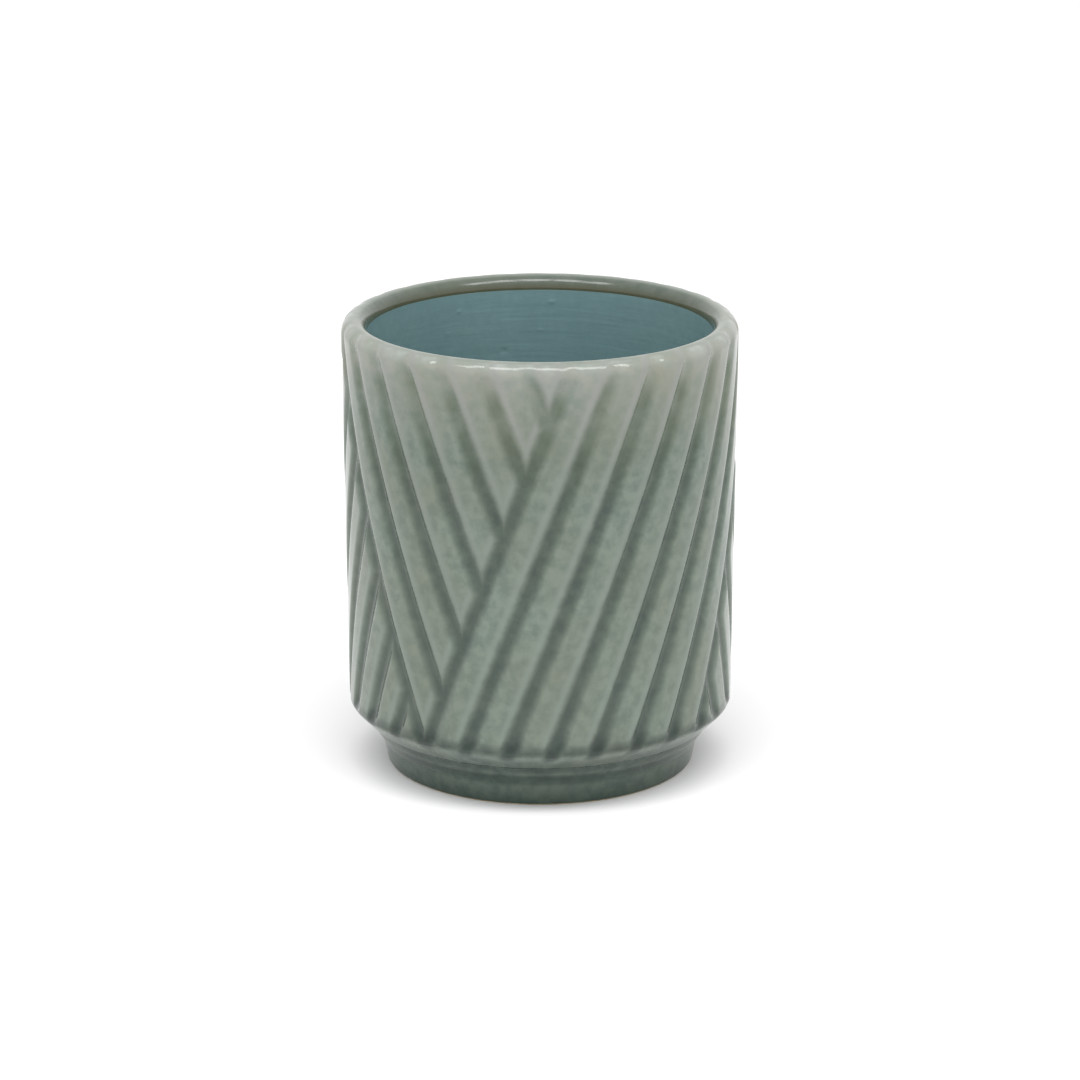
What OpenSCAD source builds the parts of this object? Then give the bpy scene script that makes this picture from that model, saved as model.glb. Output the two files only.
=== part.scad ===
// Round brush pot in glazed stoneware. Leaning ribbons of raised strips are woven round its wall.

/* [Wall and rim] */
// Diameter of the wall just under the rim
rim_d = 100; // [96:1:110]
// Diameter of the wall just above the foot
low_d = 98; // [96:0.5:100]
// Height from the table to the crest of the rim
pot_h = 116; // [112:1:130]
// Thickness of the wall, glaze included
wall_t = 6.5; // [6:0.1:8]
// Height of the rolled edge of the rim
lip_h = 3.4; // [2.5:0.1:4]
// How far down inside the crest the rim's glaze runs
lip_run = 3.6; // [3.5:0.1:6]

/* [Foot] */
// Diameter of the foot ring at the table
foot_d = 78.8; // [74:0.2:82]
// Height of the foot ring under the chamfer
foot_h = 5.8; // [5:0.1:7]
// Height at which the chamfer turns into the wall
arris_z = 17; // [16.8:0.1:17.2]
// Radius of that turn
arris_r = 2; // [1.8:0.1:2.2]
// Width of the foot ring's bearing face
ring_w = 4.6; // [3:0.1:6]
// Depth of the hollow under the base
hollow_h = 5; // [4.5:0.1:6]
// Thickness of the floor inside the pot
floor_t = 6.5; // [5:0.1:8]

/* [Glaze] */
// Thickness of each coat of glaze
coat_t = 0.5; // [0.3:0.05:0.6]
// Height of the bare clay left at the foot
bare_h = 0.3; // [0.2:0.1:2]

/* [Woven relief] */
// Depth of the grooves between the strips
groove_d = 1; // [0.8:0.1:1.2]
// Width of the grooves at the surface
groove_w = 4; // [3.8:0.1:4.4]
// Lean of the strips, in degrees round the pot for each mm of height
lean = 0.45; // [0.44:0.01:0.46]

/* [Hidden] */
$fn = 96;

rim_r = rim_d / 2;
low_r = low_d / 2;
foot_r = foot_d / 2;
crest_r = rim_r - wall_t / 2;
lip_z = pot_h - lip_h;

// The foot ring flares, and a steeper cove leads into the chamfer
foot_flare = 1;
cove = [foot_r + 3.7, foot_h + 4.4];
// A fine turned line runs round the chamfer
turned_r = cove[0] + 1.2;
turned_z = cove[1] + 1.2;
turned_w = 0.45;
turned_d = 0.35;

floor_z = hollow_h + floor_t;
inner_low_r = low_r - wall_t + 0.4;
corner_r = 8;
arc_steps = 12;

// Ribbons: four lean each way, seven strips to a ribbon
ribbons = 4;
strips = 7;
lines = ribbons * strips;
pitch = 360 / lines;
// Where the first line of each set crosses lean_z, in degrees from the front
rise_start = -34.1;
fall_start = -38;
lean_z = 20;
// Does rising ribbon i pass over falling ribbon i, and over falling ribbon i + 1?
rise_over = [[true, true], [false, true], [false, false], [true, false]];

// A groove is the lower part of a round tube that runs just outside the wall
tube_r = (pow(groove_w / 2, 2) + pow(groove_d, 2)) / (2 * groove_d);
tube_out = tube_r - groove_d;
// The grooves run from a turned band above the arris to just under the rolled rim
band_z = arris_z + 1;
groove_top = lip_z - 0.6;
wall_mid_r = (rim_r + low_r) / 2;
wall_mid_z = (lip_z + arris_z) / 2;
taper = atan((rim_r - low_r) / (lip_z - arris_z));
// The helix of a line rises at climb degrees, and a circle of bend_r follows it closely
climb = atan(1 / (wall_mid_r * lean * PI / 180));
bend_r = wall_mid_r / pow(cos(climb), 2);

// ---- Outlines ----

// A quarter of an ellipse round c, from angle a to angle b
function bow(c, rx, rz, a, b) =
    [for (i = [0 : arc_steps]) let (t = a + (b - a) * i / arc_steps)
        c + [rx * cos(t), rz * sin(t)]];

// The glazed surface in five stretches, from the foot round to the floor and then the hollow base
arris = bow([low_r - arris_r, arris_z], arris_r, arris_r, -45, 0);
foot_line = [
    [foot_r, bare_h],
    [foot_r + foot_flare, foot_h],
    cove,
    [turned_r - turned_w, turned_z - turned_w],
    [turned_r + turned_d, turned_z - turned_d],
    [turned_r + turned_w, turned_z + turned_w],
    arris[0]
];
wall_line = concat(arris, bow([crest_r, lip_z], wall_t / 2, lip_h, 0, 90));
lip_line = bow([crest_r, pot_h - lip_run], wall_t / 2, lip_run, 90, 180);
inner_line = concat(
    [[crest_r - wall_t / 2, pot_h - lip_run]],
    bow([inner_low_r - corner_r, floor_z + corner_r], corner_r, corner_r, 0, -90),
    [[0, floor_z]]
);
base_line = [[0, hollow_h], [foot_r - ring_w - coat_t, hollow_h]];

// The whole glazed surface, from the foot up over the rim and down to the floor, each shared point once
skin = concat(foot_line, tail(wall_line), tail(lip_line), tail(inner_line));
arris_at = len(foot_line) - 1;
crest_at = arris_at + len(wall_line) - 1;
lip_end_at = crest_at + len(lip_line) - 1;
floor_at = len(skin) - 1;

function tail(line) = [for (i = [1 : len(line) - 1]) line[i]];

// Left-hand normal of the stretch from a to b
function normal(a, b) = [a[1] - b[1], b[0] - a[0]] / norm(b - a);

// The line moved t to its left, into the clay, with mitred corners
function inset(line, t) =
    [for (i = [0 : len(line) - 1])
        let (
            last = len(line) - 1,
            before = normal(line[max(i - 1, 0)], line[max(i, 1)]),
            after = normal(line[min(i, last - 1)], line[min(i + 1, last)]),
            mid = before + after
        )
        line[i] + mid * 2 * t / (mid * mid)];

clay_skin = inset(skin, coat_t);
clay_base = inset(base_line, coat_t);

module turned(outline) {
    rotate_extrude() polygon(outline);
}

// The coat of glaze between points a and b of the surface, down to the line of points under it
module coat(line, under, a, b) {
    turned(concat([for (i = [a : b]) line[i]], [for (i = [b : -1 : a]) under[i]]));
}

// ---- Woven relief ----

// Height at which a rising line meets the falling line that is u places further round
function crossing(u) = lean_z + (pitch * u + fall_start - rise_start) / (2 * lean);

// Distance along the bent tube to height z, as an angle of its circle
function along(z) = (z - wall_mid_z) / sin(climb) / bend_r * 180 / PI;

// One groove from height z1 to z2. It rises anticlockwise, or clockwise where way is -1.
module groove(start, way, z1, z2) {
    rotate(start - 90 + way * lean * (wall_mid_z - lean_z))
        translate([wall_mid_r + tube_out, 0, wall_mid_z])
            rotate([0, taper, 0])
                rotate([way > 0 ? climb : 180 - climb, 0, 0])
                    translate([-bend_r, 0, 0])
                        rotate_extrude(angle = along(z2) - along(z1), start = along(z1))
                            translate([bend_r, 0]) circle(tube_r);
}

module rising_grooves() {
    for (i = [0 : ribbons - 1]) {
        over = rise_over[i];
        edge_over = over[0] || rise_over[(i + ribbons - 1) % ribbons][1];
        for (s = [0 : strips - 1]) {
            split = crossing(strips - s);
            z1 = (s == 0 ? edge_over : over[0]) ? band_z : split;
            z2 = (s == 0 ? edge_over : over[1]) ? groove_top : split;
            if (z2 > z1) groove(rise_start + pitch * (strips * i + s), 1, z1, z2);
        }
    }
}

module falling_grooves() {
    for (i = [0 : ribbons - 1]) {
        left = rise_over[(i + ribbons - 1) % ribbons];
        edge_over = !left[0] || !left[1];
        for (s = [0 : strips - 1]) {
            split = crossing(s);
            z1 = (s == 0 ? edge_over : !rise_over[i][0]) ? band_z : split;
            z2 = (s == 0 ? edge_over : !left[1]) ? groove_top : split;
            if (z2 > z1) groove(fall_start + pitch * (strips * i + s), -1, z1, z2);
        }
    }
}

// The woven relief cut into a solid: one set of grooves, then the other, then the band
module carved() {
    difference() {
        difference() {
            difference() {
                children();
                rising_grooves();
            }
            falling_grooves();
        }
        rotate_extrude() translate([low_r + tube_out, band_z]) circle(tube_r);
    }
}

// ---- Pieces ----

// Wall, floor and foot. The woven wall carries its own glaze, fused on before the coats beside it begin.
module clay_body() {
    color([0.52, 0.57, 0.51]) carved() turned(concat(
        [[foot_r - coat_t, 0]],
        [for (i = [0 : arris_at]) clay_skin[i]],
        [for (i = [arris_at : crest_at]) skin[i]],
        [for (i = [crest_at : floor_at]) clay_skin[i]],
        clay_base,
        [[foot_r - ring_w - coat_t, 0]]
    ));
}

module lip_glaze() {
    color([0.46, 0.50, 0.44]) coat(skin, clay_skin, crest_at, lip_end_at);
}

module inner_glaze() {
    color([0.36, 0.46, 0.48]) coat(skin, clay_skin, lip_end_at, floor_at);
}

module foot_glaze() {
    color([0.30, 0.36, 0.33]) coat(skin, clay_skin, 0, arris_at);
}

module base_glaze() {
    color([0.50, 0.55, 0.50]) coat(base_line, clay_base, 0, 1);
}

clay_body();
lip_glaze();
inner_glaze();
foot_glaze();
base_glaze();
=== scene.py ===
import math
import bpy
import numpy as np
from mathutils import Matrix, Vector


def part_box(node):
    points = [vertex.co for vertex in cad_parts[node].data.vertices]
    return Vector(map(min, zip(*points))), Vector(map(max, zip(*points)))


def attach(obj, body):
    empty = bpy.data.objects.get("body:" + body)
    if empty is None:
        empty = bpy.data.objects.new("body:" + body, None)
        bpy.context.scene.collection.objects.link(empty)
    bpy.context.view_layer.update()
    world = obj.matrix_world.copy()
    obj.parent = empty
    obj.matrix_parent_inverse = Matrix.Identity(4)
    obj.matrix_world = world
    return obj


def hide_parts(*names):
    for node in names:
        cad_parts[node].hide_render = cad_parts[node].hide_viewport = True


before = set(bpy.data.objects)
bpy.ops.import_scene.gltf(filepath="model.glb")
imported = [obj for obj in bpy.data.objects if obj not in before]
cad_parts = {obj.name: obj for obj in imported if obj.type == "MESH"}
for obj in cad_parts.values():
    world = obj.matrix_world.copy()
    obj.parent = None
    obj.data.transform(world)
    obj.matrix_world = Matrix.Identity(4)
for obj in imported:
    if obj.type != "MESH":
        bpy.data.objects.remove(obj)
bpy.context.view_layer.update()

mm = 0.001

wallBox, footBox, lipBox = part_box("clay_body"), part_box("foot_glaze"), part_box("lip_glaze")

pot = {
    "rimR": wallBox[1].x, "height": wallBox[1].z,    # wall just under the rim, crest of the rim
    "lowR": wallBox[1].x - 1.0 * mm,                 # wall just above the foot
    "wall": 6.5 * mm, "lipRise": 3.4 * mm,           # thickness at the rim, height of the rolled edge
    "lipRun": wallBox[1].z - lipBox[0].z,            # how far the rim's glaze runs down inside
    "coat": 0.5 * mm,                                # thickness of the glaze
    "footR": 39.4 * mm, "bare": footBox[0].z,        # foot ring at the table, bare clay under the glaze
    "turnZ": 17.0 * mm, "turnR": 2.0 * mm,           # where the chamfer turns into the wall
    "floor": 11.5 * mm, "baseZ": 5.0 * mm,           # floor inside, hollow under the base
    "ringW": 4.6 * mm,                               # width of the foot's bearing face
}
pot["crestR"] = pot["rimR"] - pot["wall"] / 2
pot["lipZ"] = pot["height"] - pot["lipRise"]

# Four ribbons lean each way, seven strips to a ribbon
weave = {
    "ribbons": 4, "strips": 7, "lean": 0.45,         # degrees round for each mm of height
    "riseStart": -34.1, "fallStart": -38.0, "leanZ": 20.0,
    "over": [[1, 1], [0, 1], [0, 0], [1, 0]],        # rising ribbon i over falling ribbon i, and i + 1
    "depth": 1.0,                                    # of the grooves, in mm
    "steep": (0.1, 2.4), "ramp": (0.9, 3.7),         # where each side of a groove starts and ends
    "shoulder": 7.5,                                 # run down from the crest before grooves are full depth
    "bottom": (15.6, 19.5),                          # heights between which they start
    # heights between which the clay draws back, and comes forward again, to leave room for them
    "backLow": (15.6, 17.5), "backHigh": (112, 116),
    "closeBy": 0.03,                                 # share of a step from each end to the row beside it
}
weave["pitch"] = 360 / (weave["ribbons"] * weave["strips"])


def smooth(x, a, b):
    # 0 before a, 1 after b, an S curve between
    t = np.clip((x - a) / (b - a), 0, 1)
    return t * t * (3 - 2 * t)


def bell(x, centre, width):
    # 1 at the centre, falling off on both sides
    return np.exp(-((x - centre) / width) ** 2)


def risingOver(riseStrip, fallStrip):
    # which ribbon is on top where a rising strip meets a falling one
    a = np.floor(riseStrip / weave["strips"]).astype(int)
    b = np.floor(fallStrip / weave["strips"]).astype(int)
    side = np.clip(b - a, 0, 1)
    return np.array(weave["over"])[a % weave["ribbons"], side].astype(bool)


def groove(dist):
    # across one groove: a steep wall where dist is negative, a soft ramp where it is positive
    return 1 - np.where(dist < 0, smooth(-dist, *weave["steep"]), smooth(dist, *weave["ramp"]))


def ridge(dist):
    # a bell curve just outside the steep wall, where glaze runs thin over the edge; the pale colour laid on
    # it is also a painted highlight
    return bell(dist, -weave["steep"][1] - 0.4, 1.0)


def relief(phi, z):
    # groove and ridge, 0 to 1, at angle phi from the front and height z: distance to the nearest
    # line of each set, counted where a strip beside it is on top, and the deeper set wins
    z = z / mm
    rise = (phi - weave["riseStart"] - weave["lean"] * (z - weave["leanZ"])) / weave["pitch"]
    fall = (phi - weave["fallStart"] + weave["lean"] * (z - weave["leanZ"])) / weave["pitch"]
    across = math.radians(weave["pitch"]) * pot["rimR"] / mm
    r, f = np.round(rise), np.round(fall)
    seenR = risingOver(r - 1, np.floor(fall)) | risingOver(r, np.floor(fall))
    seenF = ~risingOver(np.floor(rise), f - 1) | ~risingOver(np.floor(rise), f)
    distR, distF = (rise - r) * across, -(fall - f) * across
    deep = np.maximum(groove(distR) * seenR, groove(distF) * seenF)
    edge = np.maximum(ridge(distR) * seenR, ridge(distF) * seenF)
    return deep, edge * (1 - deep)


def waver(phi, z):
    # slow unevenness of a hand-finished wall: a few cosine waves round it, turning with height,
    # and shorter ones near the rim; it only ever goes inwards
    a, h = np.radians(phi), z / pot["height"]
    w = np.cos(2 * a + 1.1 + 1.6 * h) + 0.6 * np.cos(3 * a - 2.0 - 2.3 * h) + 0.4 * np.cos(5 * a + 4 * h)
    rim = np.cos(13 * a + 0.7) + np.cos(19 * a + 2.0) + 0.6 * np.cos(31 * a)
    return -0.07 * mm * (1 + w / 2) - 0.018 * mm * (2.6 + rim) * smooth(h, 0.88, 0.98)


def bow(centre, rx, rz, a, b, steps):
    # part of an ellipse about centre from angle a to angle b, as rows of radius and height
    t = np.radians(np.linspace(a, b, steps + 1))
    return np.column_stack([centre[0] + rx * np.cos(t), centre[1] + rz * np.sin(t)])


def straight(a, b, steps):
    # evenly spaced points from a to b
    t = np.linspace(0, 1, steps + 1)[:, None]
    return np.array(a) * (1 - t) + np.array(b) * t


def joined(*lines):
    # lines end to end, each shared point once
    return np.vstack([lines[0]] + [l[1:] for l in lines[1:]])


def normals(line):
    # left-hand normal at each point, from its neighbours on both sides
    d = np.gradient(line, axis=0)
    d /= np.linalg.norm(d, axis=1)[:, None]
    return np.column_stack([-d[:, 1], d[:, 0]])


def sunk(line):
    # the line moved into the clay by the thickness of the glaze
    return line + normals(line) * pot["coat"]


def turnedMesh(name, r, z, phi, ring, **values):
    # surface of revolution: point (i, j) is (r cos a, r sin a, z) with a = phi[j] - 90 degrees,
    # r and z may vary round each row. A ring closes on itself, any other line runs axis to axis.
    rows, cols = r.shape
    a = np.radians(phi - 90)
    pts = np.stack([r * np.cos(a), r * np.sin(a), z], axis=-1).reshape(-1, 3)
    i, j = np.meshgrid(np.arange(rows if ring else rows - 1), np.arange(cols), indexing="ij")
    i2, j2 = (i + 1) % rows, (j + 1) % cols
    quads = np.stack([i * cols + j, i * cols + j2, i2 * cols + j2, i2 * cols + j], -1).reshape(-1, 4)
    corner = [pts[quads[:, c]] for c in range(3)]
    flip = np.einsum("ij,ij->i", corner[0], np.cross(corner[1], corner[2])).sum() < 0
    faces = quads.tolist()
    if not ring:
        n, k = len(pts), np.arange(cols)
        pts = np.vstack([pts, [0, 0, z[0].mean()], [0, 0, z[-1].mean()]])
        k2, end = (k + 1) % cols, (rows - 1) * cols
        faces += np.column_stack([k2, k, np.full(cols, n)]).tolist()
        faces += np.column_stack([end + k, end + k2, np.full(cols, n + 1)]).tolist()
    if flip:
        faces = [f[::-1] for f in faces]
    mesh = bpy.data.meshes.new(name)
    mesh.from_pydata(pts, [], faces)
    for key, value in values.items():
        full = np.zeros(len(pts), dtype=np.float32)
        full[:rows * cols] = np.broadcast_to(value, r.shape).ravel()
        mesh.attributes.new(key, "FLOAT", "POINT").data.foreach_set("value", full)
    mesh.update()
    mesh.shade_smooth()
    mesh.set_sharp_from_angle(angle=math.radians(70))
    piece = bpy.data.objects.new(name, mesh)
    bpy.context.scene.collection.objects.link(piece)
    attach(piece, "root")
    return piece


def tree(name):
    # an empty node tree with one shader
    material = bpy.data.materials.new(name)
    material.use_nodes = True
    material.node_tree.nodes.clear()
    out = material.node_tree.nodes.new("ShaderNodeOutputMaterial")
    shader = material.node_tree.nodes.new("ShaderNodeBsdfPrincipled")
    material.node_tree.links.new(shader.outputs[0], out.inputs[0])
    return material, shader


def put(m, kind, values=None, links=None, **settings):
    # adds a node, sets its sockets and settings, and joins it to other nodes' outputs
    node = m.node_tree.nodes.new("ShaderNode" + kind)
    for key, value in settings.items():
        setattr(node, key, value)
    for key, value in (values or {}).items():
        node.inputs[key].default_value = value
    for key, source in (links or {}).items():
        m.node_tree.links.new(source, node.inputs[key])
    return node


def colourOf(r, g, b):
    # a colour as it is seen, turned into light values
    c = np.array([r, g, b]) / 255
    c = np.where(c < 0.04045, c / 12.92, ((c + 0.055) / 1.055) ** 2.4)
    return (*c, 1.0)


def mixed(m, factor, a, b):
    # a where the factor is 0, b where it is 1; both are colours or outputs
    node = put(m, "Mix", data_type="RGBA")
    for socket, value in ((node.inputs[0], factor), (node.inputs[6], a), (node.inputs[7], b)):
        if isinstance(value, (tuple, float)):
            socket.default_value = value
        else:
            m.node_tree.links.new(value, socket)
    return node.outputs[2]


def times(m, value, by):
    # an output multiplied by a number or by another output
    if isinstance(by, float):
        return put(m, "Math", {1: by}, {0: value}, operation="MULTIPLY").outputs[0]
    return put(m, "Math", links={0: value, 1: by}, operation="MULTIPLY").outputs[0]


def noise(m, place, scale, detail=3.0, rough=0.5, low=0.3, high=0.7):
    # soft noise, stretched so that low becomes 0 and high becomes 1
    n = put(m, "TexNoise", {"Scale": scale, "Detail": detail, "Roughness": rough}, {"Vector": place})
    return put(m, "MapRange", {"From Min": low, "From Max": high}, {"Value": n.outputs["Fac"]}).outputs[0]


def bumpy(m, shader, height, strength, high):
    # tilts the shading as if the surface stood high metres up where height is 1
    bump = put(m, "Bump", {"Strength": strength, "Distance": high}, {"Height": height})
    m.node_tree.links.new(bump.outputs[0], shader.inputs["Normal"])


def byHeight(m, place, stops):
    # a colour ramp up the pot, with stops in mm
    height = put(m, "SeparateXYZ", links={"Vector": place}).outputs["Z"]
    up = put(m, "MapRange", {"From Min": 0.0, "From Max": pot["height"]}, {"Value": height}).outputs[0]
    node = put(m, "ValToRGB", links={"Fac": up})
    ramp = node.color_ramp
    while len(ramp.elements) < len(stops):
        ramp.elements.new(0.5)
    for element, (z, colour) in zip(ramp.elements, sorted(stops)):
        element.position, element.color = z * mm / pot["height"], colour
    return node.outputs["Color"]


# unevenness of the glaze: noise scale, detail, roughness, and the values that become 0 and 1
uneven = {
    "fine": (340, 2, 0.55, 0.36, 0.64), "cloud": (150, 3, 0.55, 0.34, 0.68), "wash": (45, 2, 0.5, 0.35, 0.65),
    "poolLeast": 0.84, "poolCool": 0.5,              # how much noise breaks up the dark pools
    "swell": 260.0, "swellHigh": 0.06 * mm, "swellStrength": 0.6,
}


def celadon(name, look):
    # grey-green glaze: a ground colour by height, mixed with cool, pale and warm ones by cloudy, fine and
    # broad noise, then with a pale edge and a dark pool by the piece's own attributes; the pale edge is
    # partly a painted highlight, and on the foot the dark pool also holds painted shade and a painted
    # highlight
    m, shader = tree(name)
    place = put(m, "TexCoord").outputs["Object"]
    pool = put(m, "Attribute", attribute_name="pool").outputs["Fac"]
    edge = put(m, "Attribute", attribute_name="edge").outputs["Fac"]
    fine = noise(m, place, *uneven["fine"])
    cloud = noise(m, place, *uneven["cloud"])
    wash = noise(m, place, *uneven["wash"])
    colour = byHeight(m, place, look["ground"])
    for key, amount in (("cool", times(m, cloud, look["cloudMix"])), ("pale", times(m, fine, look["mottle"])),
                        ("warm", times(m, wash, look["washMix"])), ("edge", times(m, edge, look["edgeMix"]))):
        colour = mixed(m, amount, colour, byHeight(m, place, look[key]))
    dark = mixed(m, times(m, fine, uneven["poolCool"]), byHeight(m, place, look["pool"]),
                 byHeight(m, place, look["poolCool"]))
    broken = put(m, "MapRange", {"To Min": uneven["poolLeast"], "To Max": 1.0}, {"Value": cloud}).outputs[0]
    colour = mixed(m, times(m, pool, broken), colour, dark)
    m.node_tree.links.new(colour, shader.inputs["Base Color"])
    gloss = put(m, "MapRange", {"To Min": look["rough"][0], "To Max": look["rough"][1]}, {"Value": cloud})
    m.node_tree.links.new(gloss.outputs[0], shader.inputs["Roughness"])
    shader.inputs["IOR"].default_value = 1.5
    swell = put(m, "TexNoise", {"Scale": uneven["swell"], "Detail": 1.0}, {"Vector": place}).outputs["Fac"]
    bumpy(m, shader, swell, uneven["swellStrength"], uneven["swellHigh"])
    return m


# the woven wall's grid: both leans follow its diagonals, and the lines cross on its points
perLine = 24
columns = perLine * weave["ribbons"] * weave["strips"]
stepPhi = 360 / columns
stepZ = stepPhi / weave["lean"] * mm
crossZ = weave["leanZ"] + (weave["fallStart"] - weave["riseStart"]) / (2 * weave["lean"])
phi = weave["riseStart"] + weave["lean"] * (crossZ - weave["leanZ"]) + stepPhi * np.arange(columns)


def beside(end, inner):
    # a point close to the end of a line, towards the next one
    return end * (1 - weave["closeBy"]) + inner * weave["closeBy"]


def wallLine(step):
    # rounded turn above the chamfer, straight wall on the grid's own heights, outer half of the rim
    turn = bow((pot["lowR"] - pot["turnR"], pot["turnZ"]), pot["turnR"], pot["turnR"], -45, 0, 5)
    z = crossZ * mm + step * np.arange(1, int(pot["height"] / step) + 1)
    z = z[(z > pot["turnZ"] + 0.2 * step) & (z < pot["lipZ"] - 0.2 * step)]
    t = (z - pot["turnZ"]) / (pot["lipZ"] - pot["turnZ"])
    wall = np.column_stack([pot["lowR"] + (pot["rimR"] - pot["lowR"]) * t, z])
    rim = bow((pot["crestR"], pot["lipZ"]), pot["wall"] / 2, pot["lipRise"], 0, 90, 16)
    # rows close to both ends keep the gloss unbroken
    first, close = beside(turn[:1], turn[1:2]), beside(rim[-1:], rim[-2:-1])
    return np.vstack([turn[:1], first, turn[1:], wall, rim[:-1], close, rim[-1:]])


def wovenUnder():
    # the clay's own line under the woven wall: deeper than the grooves, thinning out at both ends
    line = wallLine(stepZ * 8)
    z = line[:, 1] / mm
    full = smooth(z, *weave["backLow"]) * (1 - smooth(z, *weave["backHigh"]))
    return line + normals(line) * (pot["coat"] + full[:, None] * weave["depth"] * mm)


# where the glaze pools and where it thins, and the painted highlight on the arris: heights and widths in mm
flow = {
    "blob": (17.8, 2.8), "blobWide": 0.8, "blobDark": 0.18,    # the wide dark foot of each groove
    "band": (17.2, 1.3), "bandDark": 0.75,           # the dark band between those
    "start": (12.8, 15.4),                           # heights between which grooves darken from below
    "pale": (86, 116), "clear": (108, 115),          # heights between which they thin and clear
    "patchStep": 1.9, "patchSwing": 4, "patchTurns": 9, "patchDark": 0.7,
    "arris": (14.8, 0.8), "arrisThinGlazeAndHighlight": 0.6,          # the pale edge above the chamfer: glaze thin over the arris, and a painted highlight
    "ridges": (17, 20),                              # heights between which the strips' pale edges start
    "lip": (0.3, 0.95),                              # share of the way down inside over which the lip darkens
}


def pooled(deep, z):
    # glaze darkens the grooves less towards the rim, save in patches that are a sine of the height with
    # a sine of the angle as its phase; it spreads widest where they end above the arris
    z = z / mm
    blob = bell(z, *flow["blob"])
    swing = flow["patchSwing"] * np.sin(np.radians(phi) * flow["patchTurns"])
    patch = 0.5 + 0.5 * np.sin(z / flow["patchStep"] + swing)
    thin = 1 - smooth(z, *flow["pale"]) * (1 - flow["patchDark"] * patch)
    wide = deep ** (1 - flow["blobWide"] * blob)
    dark = (1 - flow["blobDark"]) * thin * (1 - smooth(z, *flow["clear"])) + flow["blobDark"] * blob
    return np.maximum(wide * dark * smooth(z, *flow["start"]), flow["bandDark"] * bell(z, *flow["band"]))


def arrisThinGlazeAndHighlight(z):
    # a bell curve of height, where glaze runs thin over the arris and a painted highlight lies on it
    return flow["arrisThinGlazeAndHighlight"] * bell(z / mm, *flow["arris"])


# the glaze at the crest, where the two coats of the rim meet
crest = {
    "ground": (116, colourOf(116, 124, 116)), "cool": (116, colourOf(102, 114, 105)),
    "warm": (116, colourOf(116, 120, 105)), "pale": (116, colourOf(124, 130, 122)),
}
# colours at heights in mm, how much of each shows, and the least and most roughness
wallLook = {
    # the ground pales from 112 mm to a light band at 115.5 mm on the rim's outer shoulder: partly glaze thin
    # over the rim, partly a painted highlight from the lamps above
    "ground": [(15, colourOf(82, 94, 88)), (17, colourOf(88, 101, 92)), (24, colourOf(96, 109, 98)),
               (94, colourOf(93, 106, 96)), (99, colourOf(101, 111, 101)), (104, colourOf(106, 114, 105)),
               (108, colourOf(115, 123, 114)), (112, colourOf(128, 133, 127)),
               (115.5, colourOf(158, 163, 158)), crest["ground"]],
    "cool": [(90, colourOf(80, 97, 90)), (112, colourOf(108, 121, 110)), crest["cool"]],
    "warm": [(90, colourOf(104, 107, 91)), (112, colourOf(126, 126, 106)), crest["warm"]],
    # the pale colour rises the same way to 114 mm: partly thin glaze, partly painted highlight
    "pale": [(60, colourOf(112, 124, 112)), (95, colourOf(111, 121, 111)), (108, colourOf(124, 128, 120)),
             (114, colourOf(143, 144, 136)), crest["pale"]],
    # pale colours of the strips' edges: glaze thin over the edge, and a painted highlight
    "edge": [(30, colourOf(114, 125, 116)), (90, colourOf(117, 125, 117)), (105, colourOf(132, 134, 130))],
    "pool": [(17, colourOf(19, 33, 28)), (22, colourOf(35, 52, 45)), (80, colourOf(31, 47, 40)),
             (92, colourOf(42, 57, 37)), (108, colourOf(56, 72, 44))],
    "poolCool": [(30, colourOf(37, 56, 49)), (100, colourOf(56, 75, 55))],
    "cloudMix": 0.6, "mottle": 0.8, "washMix": 0.4, "edgeMix": 0.7, "rough": (0.1, 0.16),
}
line = wallLine(stepZ)
under = wovenUnder()[::-1]
inward = normals(line)
run = np.cumsum(np.linalg.norm(np.diff(line, axis=0), axis=1)[::-1])[::-1] / mm
fade = np.clip(np.append(run, 0) / weave["shoulder"], 0, 1) * smooth(line[:, 1] / mm, *weave["bottom"])
zLine = np.repeat(line[:, 1:], columns, 1)
deep, edge = relief(phi, zLine)
sink = deep * fade[:, None] * weave["depth"] * mm
r = np.vstack([line[:, :1] + inward[:, :1] * sink, np.repeat(under[:, :1], columns, 1)])
z = np.vstack([zLine + inward[:, 1:] * sink, np.repeat(under[:, 1:], columns, 1)])
# pale edges of the strips and of the arris: partly glaze thin over the edges, partly a painted highlight
paleEdgeAndHighlight = np.maximum(edge * smooth(zLine / mm, *flow["ridges"]), arrisThinGlazeAndHighlight(zLine))
rest = np.zeros((len(under), columns))
wallGlaze = turnedMesh("outerGlaze", r + waver(phi, z), z, phi, True,
                       pool=np.vstack([pooled(deep, zLine), rest]), edge=np.vstack([paleEdgeAndHighlight, rest]))
wallGlaze.data.materials.append(celadon("wallCeladon", wallLook))
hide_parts("clay_body")
print("woven wall done")


def coatBetween(name, line, **values):
    # a coat of even thickness under a stretch of the surface, closed round its own section
    both = np.vstack([line, sunk(line)[::-1]])
    r = np.repeat(both[:, :1], columns, 1)
    z = np.repeat(both[:, 1:], columns, 1)
    full = {k: np.vstack([v, np.zeros(v.shape)]) for k, v in values.items()}
    return turnedMesh(name, r + waver(phi, z), z, phi, True, **full)


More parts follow.
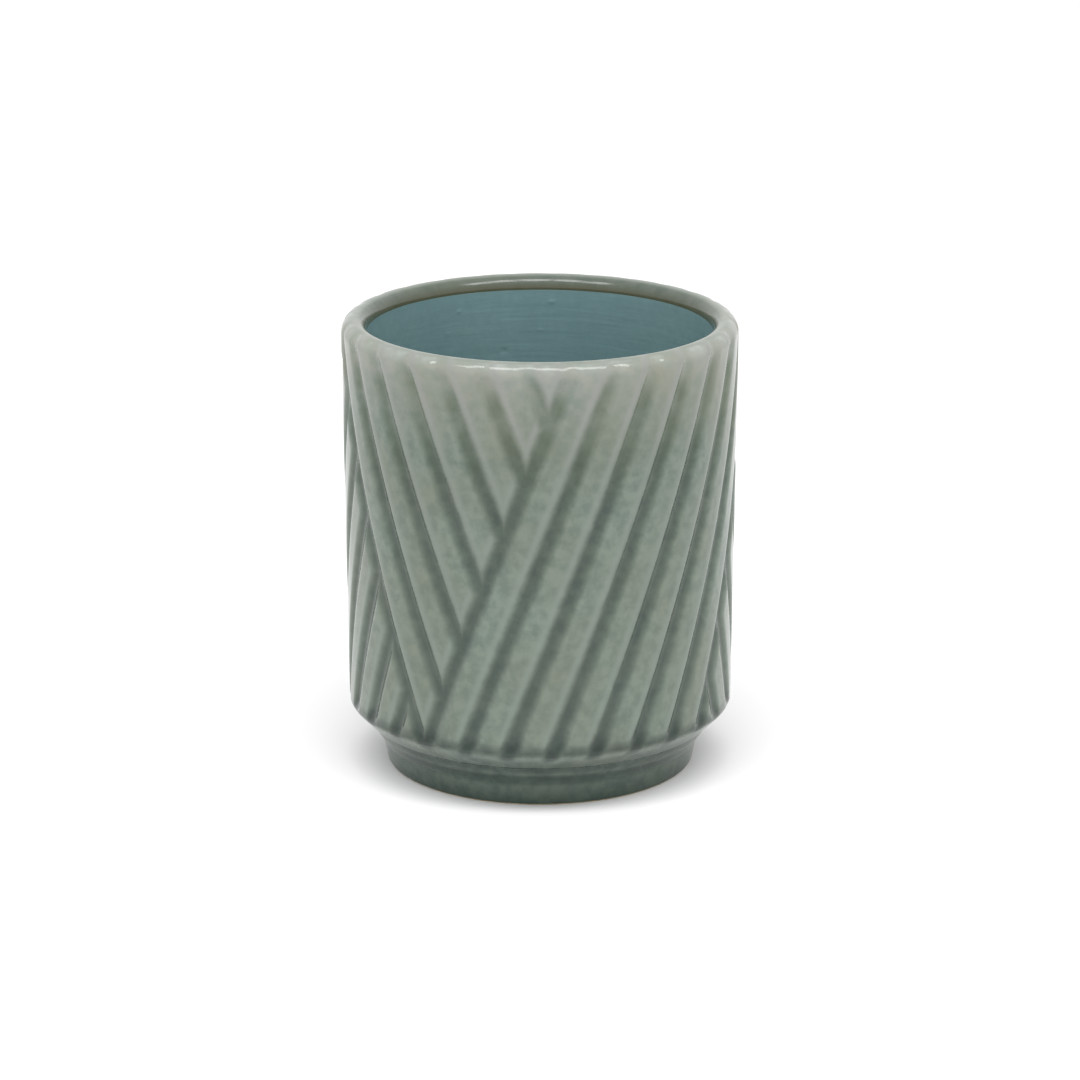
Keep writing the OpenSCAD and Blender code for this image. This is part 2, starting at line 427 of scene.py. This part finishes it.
# inner half of the rim: pale at the crest, an olive line where it meets the blue inside
lipLook = dict(wallLook)
lipLook.update({
    "ground": [(112, colourOf(82, 85, 67)), (114, colourOf(76, 86, 74)), (115.3, colourOf(76, 86, 77)),
               (115.75, colourOf(84, 94, 85)), crest["ground"]],
    "pool": [(112, colourOf(78, 76, 54)), (115.5, colourOf(76, 83, 66))],
    "cool": [(112, colourOf(66, 78, 68)), (115.7, colourOf(74, 86, 77)), crest["cool"]],
    "warm": [(112, colourOf(84, 84, 62)), (115.7, colourOf(88, 94, 79)), crest["warm"]],
    "pale": [(112, colourOf(84, 88, 74)), (115.7, colourOf(92, 100, 92)), crest["pale"]],
    "poolCool": [(112, colourOf(84, 86, 66)), (115.5, colourOf(80, 88, 74))],
    "cloudMix": 0.4,
})
lipLine = bow((pot["crestR"], pot["height"] - pot["lipRun"]), pot["wall"] / 2, pot["lipRun"], 90, 180, 18)
lipLine = np.insert(lipLine, 1, beside(lipLine[0], lipLine[1]), axis=0)
down = np.repeat((pot["height"] - lipLine[:, 1:]) / pot["lipRun"], columns, 1)
lipGlaze = coatBetween("lipGlaze", lipLine, pool=smooth(down, *flow["lip"]), edge=0 * down)
lipGlaze.data.materials.append(celadon("lipCeladon", lipLook))
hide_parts("lip_glaze")

# the foot: a flared ring, a cove, and the chamfer with a fine turned line round it
foot = {
    "flare": 1.0 * mm, "top": 5.8 * mm, "cove": (43.1 * mm, 10.2 * mm),
    "end": [(-0.42, 0), (-0.12, 0.06), (0, 0.3)],    # rounded end of the glaze, out and up in mm
    "lineZ": 10.9, "lineW": 0.45, "lineDeep": 0.32,  # the turned line, in mm
    "beadZ": 9.3, "beadW": 0.5, "beadOut": 0.14,     # the faint bead under it
    # how dark the foot's glaze is, from 0 to 1, at heights in mm: thick glaze pooled on the foot, darker down
    # the chamfer, with painted shade in the cove round 8.2 mm and a painted highlight on the flare's top
    # round 5 mm
    "poolZ": [0.3, 1.2, 3.0, 5.0, 6.0, 7.3, 8.2, 9.3, 10.0, 10.9, 11.8, 13.4, 14.6, 15.5],
    "pool": [0.9, 0.82, 0.72, 0.6, 0.74, 0.96, 1.0, 0.6, 0.84, 0.95, 0.6, 0.42, 0.2, 0.1],
}
turnStart = wallLine(stepZ)[0]
footTop = (pot["footR"] + foot["flare"], foot["top"])
footEnd = np.array([pot["footR"], pot["bare"]]) + np.array(foot["end"]) * mm
footLine = joined(
    footEnd,
    straight(footEnd[-1], footTop, 12),
    straight(footTop, foot["cove"], 14),
    straight(foot["cove"], turnStart, 44),
)
footZ = footLine[:, 1:] / mm
notch = foot["lineDeep"] * bell(footZ, foot["lineZ"], foot["lineW"])
bead = foot["beadOut"] * bell(footZ, foot["beadZ"], foot["beadW"])
footLine = footLine + normals(footLine) * (notch - bead) * mm
footZ = np.repeat(footLine[:, 1:], columns, 1)
footDeep = relief(phi, footZ)[0]
# pooled glaze on the foot, with painted shade in the cove and a painted highlight on the flare
footPoolShadeAndHighlight = np.interp(footZ / mm, foot["poolZ"], foot["pool"])
footPoolShadeAndHighlight = np.maximum(footPoolShadeAndHighlight, pooled(footDeep, footZ))
footGlaze = coatBetween("footGlaze", footLine, pool=footPoolShadeAndHighlight, edge=arrisThinGlazeAndHighlight(footZ))
footLook = dict(wallLook)
# the foot's dark colours: darkest at 8 mm for the painted shade in the cove, lighter at 5 mm under the
# painted highlight on the flare
footLook["pool"] = [(1, colourOf(30, 49, 41)), (5, colourOf(40, 59, 52)), (8, colourOf(28, 45, 38)),
                    (15, colourOf(35, 51, 44))]
footLook["poolCool"] = [(1, colourOf(38, 59, 52)), (15, colourOf(46, 66, 59))]
footGlaze.data.materials.append(celadon("footCeladon", footLook))
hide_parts("foot_glaze")
print("rim and foot done")

plainPhi = np.arange(0, 360, 0.8)
poleR = 0.3 * mm                                     # the innermost ring round the axis
steadyR = 30 * mm                                    # inside this the unevenness fades to nothing


def axisMesh(name, line, swell=None, **values):
    # a closed profile from axis to axis; its first and last points are the poles
    r = np.repeat(line[1:-1, :1], len(plainPhi), 1)
    z = np.repeat(line[1:-1, 1:], len(plainPhi), 1)
    if swell is not None:
        r = r + swell(plainPhi, z, r)
    r = r + waver(plainPhi, z) * np.clip(r / steadyR, 0, 1)
    return turnedMesh(name, r, z, plainPhi, False, **values)


# the blue inside: a straight wall with faint throwing rings and a few specks under the glaze
inside = {
    "lowR": pot["lowR"] - pot["wall"] + 0.4 * mm, "corner": 8 * mm,
    "ringDeep": 0.004 * mm, "ringStep": 2.3 * mm,
    # angle round from the front, depth under the crest, height and width of each speck, in mm
    "specks": [(-151, 8.2, 0.22, 0.7), (176, 6.8, 0.24, 0.8), (180, 14.4, 0.16, 0.6),
               (-146.6, 13.8, 0.14, 0.6), (-167.5, 19.8, -0.22, 1.1)],
    # scale, detail, roughness, and the values that become 0 and 1, of each noise in the colour
    "fine": (420, 3, 0.6, 0.35, 0.65), "brushed": (60, 3, 0.6, 0.35, 0.65), "broad": (30, 2, 0.5, 0.35, 0.65),
    "flatter": (1.0, 1.0, 9.0),                      # the brushed noise is this much finer upwards
    "dark": colourOf(103, 133, 136), "light": colourOf(112, 141, 143),
    "streak": colourOf(122, 150, 152), "fleck": colourOf(93, 121, 127),
    "streakMix": 0.3, "fleckMix": 0.25, "rough": 0.45, "shine": 0.3, "bumpHigh": 0.05 * mm,
}
innerTop = (pot["crestR"] - pot["wall"] / 2, pot["height"] - pot["lipRun"])
midZ = pot["height"] - 36 * mm
innerCorner = (inside["lowR"], pot["floor"] + inside["corner"])
midR = innerTop[0] + (innerCorner[0] - innerTop[0]) * (innerTop[1] - midZ) / (innerTop[1] - innerCorner[1])
bendR = inside["lowR"] - inside["corner"]
innerLine = joined(
    straight(innerTop, (midR, midZ), 96),
    straight((midR, midZ), innerCorner, 30),
    bow((bendR, innerCorner[1]), inside["corner"], inside["corner"], 0, -90, 12),
    straight((bendR, pot["floor"]), (poleR, pot["floor"]), 16),
)
innerUnder = sunk(innerLine)[::3]


def liningSwell(phi, z, r):
    # shallow rings as sines of height, plus a bell-shaped speck at each listed place, on the inner face
    face = (z > pot["floor"]) & (r < pot["rimR"] - pot["wall"] + 0.1 * mm)
    turns = 2 * math.pi * z / inside["ringStep"] + np.sin(np.radians(phi))
    rings = inside["ringDeep"] * (np.sin(turns) + np.sin(1.7 * turns + 1) + np.sin(0.43 * turns))
    rings = rings * smooth(z, innerTop[1], innerTop[1] - 6 * mm) * smooth(z, pot["floor"], innerCorner[1])
    specks = 0
    for angle, depth, high, wide in inside["specks"]:
        away = (phi - angle + 180) % 360 - 180
        dx, dz = np.radians(away) * r / mm, (pot["height"] - z) / mm - depth
        specks = specks + high * mm * np.exp(-(dx ** 2 + dz ** 2) / (wide / 1.6) ** 2)
    return -np.where(face, rings + specks, 0)


def liningBlue(name):
    # blue-grey satin: two tones by broad noise, streaked by a noise flattened upwards, flecked by a fine one
    m, shader = tree(name)
    place = put(m, "TexCoord").outputs["Object"]
    flat = put(m, "Mapping", {"Scale": inside["flatter"]}, {"Vector": place}).outputs[0]
    brushed = noise(m, flat, *inside["brushed"])
    colour = mixed(m, noise(m, place, *inside["broad"]), inside["dark"], inside["light"])
    colour = mixed(m, times(m, brushed, inside["streakMix"]), colour, inside["streak"])
    colour = mixed(m, times(m, noise(m, place, *inside["fine"]), inside["fleckMix"]), colour, inside["fleck"])
    m.node_tree.links.new(colour, shader.inputs["Base Color"])
    shader.inputs["Roughness"].default_value = inside["rough"]
    shader.inputs["Specular IOR Level"].default_value = inside["shine"]
    bumpy(m, shader, brushed, 0.5, inside["bumpHigh"])
    return m


innerAll = np.vstack([[0, pot["floor"]], innerLine[::-1], innerUnder, [0, pot["floor"] - pot["coat"]]])
lining = axisMesh("liningGlaze", innerAll, liningSwell)
lining.data.materials.append(liningBlue("liningBlue"))
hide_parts("inner_glaze")

baseR = pot["footR"] - pot["ringW"] - pot["coat"]
baseTop = pot["baseZ"] + pot["coat"]
baseLine = np.vstack([[0, pot["baseZ"]], straight((poleR, pot["baseZ"]), (baseR, pot["baseZ"]), 8),
                      straight((baseR, baseTop), (poleR, baseTop), 8), [0, baseTop]])
base = axisMesh("baseGlaze", baseLine, pool=0.2, edge=0.0)
base.data.materials.append(celadon("baseCeladon", wallLook))
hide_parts("base_glaze")

# the clay under every coat, bare only on the foot's bearing face
bareClay = {
    "dark": colourOf(168, 150, 110), "light": colourOf(202, 186, 146),
    "grain": (900, 4, 0.7, 0.35, 0.7), "rough": 0.85,
}
ringOut, ringIn, hollowTop = pot["footR"] / mm, (pot["footR"] - pot["ringW"]) / mm, baseTop / mm
footFace = np.array([
    (ringOut - 0.46, 0.24), (ringOut - 0.5, 0.06), (ringOut - 0.62, 0),        # rounded outer edge
    (ringIn + 0.4, 0), (ringIn + 0.05, 0.15), (ringIn, 0.5), (ringIn, 3),      # inner edge
    (ringIn - 0.1, hollowTop - 0.3), (ringIn - 0.5, hollowTop),                # corner of the hollow
    (20, hollowTop), (poleR / mm, hollowTop), (0, hollowTop),
]) * mm
clayLine = np.vstack([
    [0, pot["floor"] - pot["coat"]], innerUnder[::-1], sunk(lipLine)[::-1], wovenUnder()[::-1],
    sunk(footLine)[:2:-1], footFace,
])


def stoneware(name):
    # matte buff clay: two tones by a very fine noise
    m, shader = tree(name)
    place = put(m, "TexCoord").outputs["Object"]
    colour = mixed(m, noise(m, place, *bareClay["grain"]), bareClay["dark"], bareClay["light"])
    m.node_tree.links.new(colour, shader.inputs["Base Color"])
    shader.inputs["Roughness"].default_value = bareClay["rough"]
    return m


clay = axisMesh("clayBody", clayLine)
clay.data.materials.append(stoneware("bareStoneware"))
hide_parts("clay_body")
print("lining, base and clay done")

table = {
    "half": 4.0, "low": (0.86, 0.86, 0.86, 1), "high": (0.88, 0.88, 0.88, 1),
    "haze": (3, 2, 0.5), "rough": 0.9, "shine": 0.1,
}


def paleTable(name):
    # plain pale table: two near tones by a very broad noise
    m, shader = tree(name)
    place = put(m, "TexCoord").outputs["Object"]
    colour = mixed(m, noise(m, place, *table["haze"]), table["low"], table["high"])
    m.node_tree.links.new(colour, shader.inputs["Base Color"])
    shader.inputs["Roughness"].default_value = table["rough"]
    shader.inputs["Specular IOR Level"].default_value = table["shine"]
    return m


corners = [(x * table["half"], y * table["half"], 0) for x, y in ((-1, -1), (1, -1), (1, 1), (-1, 1))]
floorMesh = bpy.data.meshes.new("floor")
floorMesh.from_pydata(corners, [], [(0, 1, 2, 3)])
floorMesh.materials.append(paleTable("paleFloor"))
floor = bpy.data.objects.new("floor", floorMesh)
bpy.context.scene.collection.objects.link(floor)

lights = {
    "strips": 5, "firstX": -0.68, "stepX": 0.36, "y": -0.5, "z": 1.25,         # a row of short tubes overhead
    "tube": (0.32, 0.4), "tubePower": 2.6, "tubeAim": 0.1,
    "front": (0, -2.2, 2.4), "frontAim": (0, 0, 0.05), "frontSize": (2.4, 1.6), "frontPower": 2,
    "room": 1.04,                                    # brightness of the white room all round
}
world = bpy.data.worlds.new("softRoom")
bpy.context.scene.world = world
world.use_nodes = True
room = world.node_tree.nodes["Background"]
room.inputs[0].default_value = (1, 1, 1, 1)
room.inputs[1].default_value = lights["room"]
bpy.context.scene.view_settings.view_transform = "Standard"


def softbox(name, where, aim, size, power):
    # a rectangular lamp turned towards a point
    light = bpy.data.lights.new(name, "AREA")
    light.shape, light.size, light.size_y, light.energy = "RECTANGLE", size[0], size[1], power
    lamp = bpy.data.objects.new(name, light)
    lamp.location = where
    lamp.rotation_euler = (Vector(aim) - Vector(where)).to_track_quat("-Z", "Y").to_euler()
    bpy.context.scene.collection.objects.link(lamp)


for n in range(lights["strips"]):
    x = lights["firstX"] + n * lights["stepX"]
    softbox("tube%d" % n, (x, lights["y"], lights["z"]), (x, 0, lights["tubeAim"]), lights["tube"],
            lights["tubePower"])
softbox("front", lights["front"], lights["frontAim"], lights["frontSize"], lights["frontPower"])
print("floor and lights done")

# metres in front and above the table, degrees up from straight down, lens and sensor in mm
view = {"away": 0.9958, "up": 0.36065, "tilt": 73.058, "lens": 136.2, "sensor": 36}
cameraData = bpy.data.cameras.new("camera")
cameraData.lens, cameraData.sensor_width = view["lens"], view["sensor"]
camera = bpy.data.objects.new("camera", cameraData)
camera.location = (0, -view["away"], view["up"])
camera.rotation_euler = (math.radians(view["tilt"]), 0, 0)
bpy.context.scene.collection.objects.link(camera)
bpy.context.scene.camera = camera
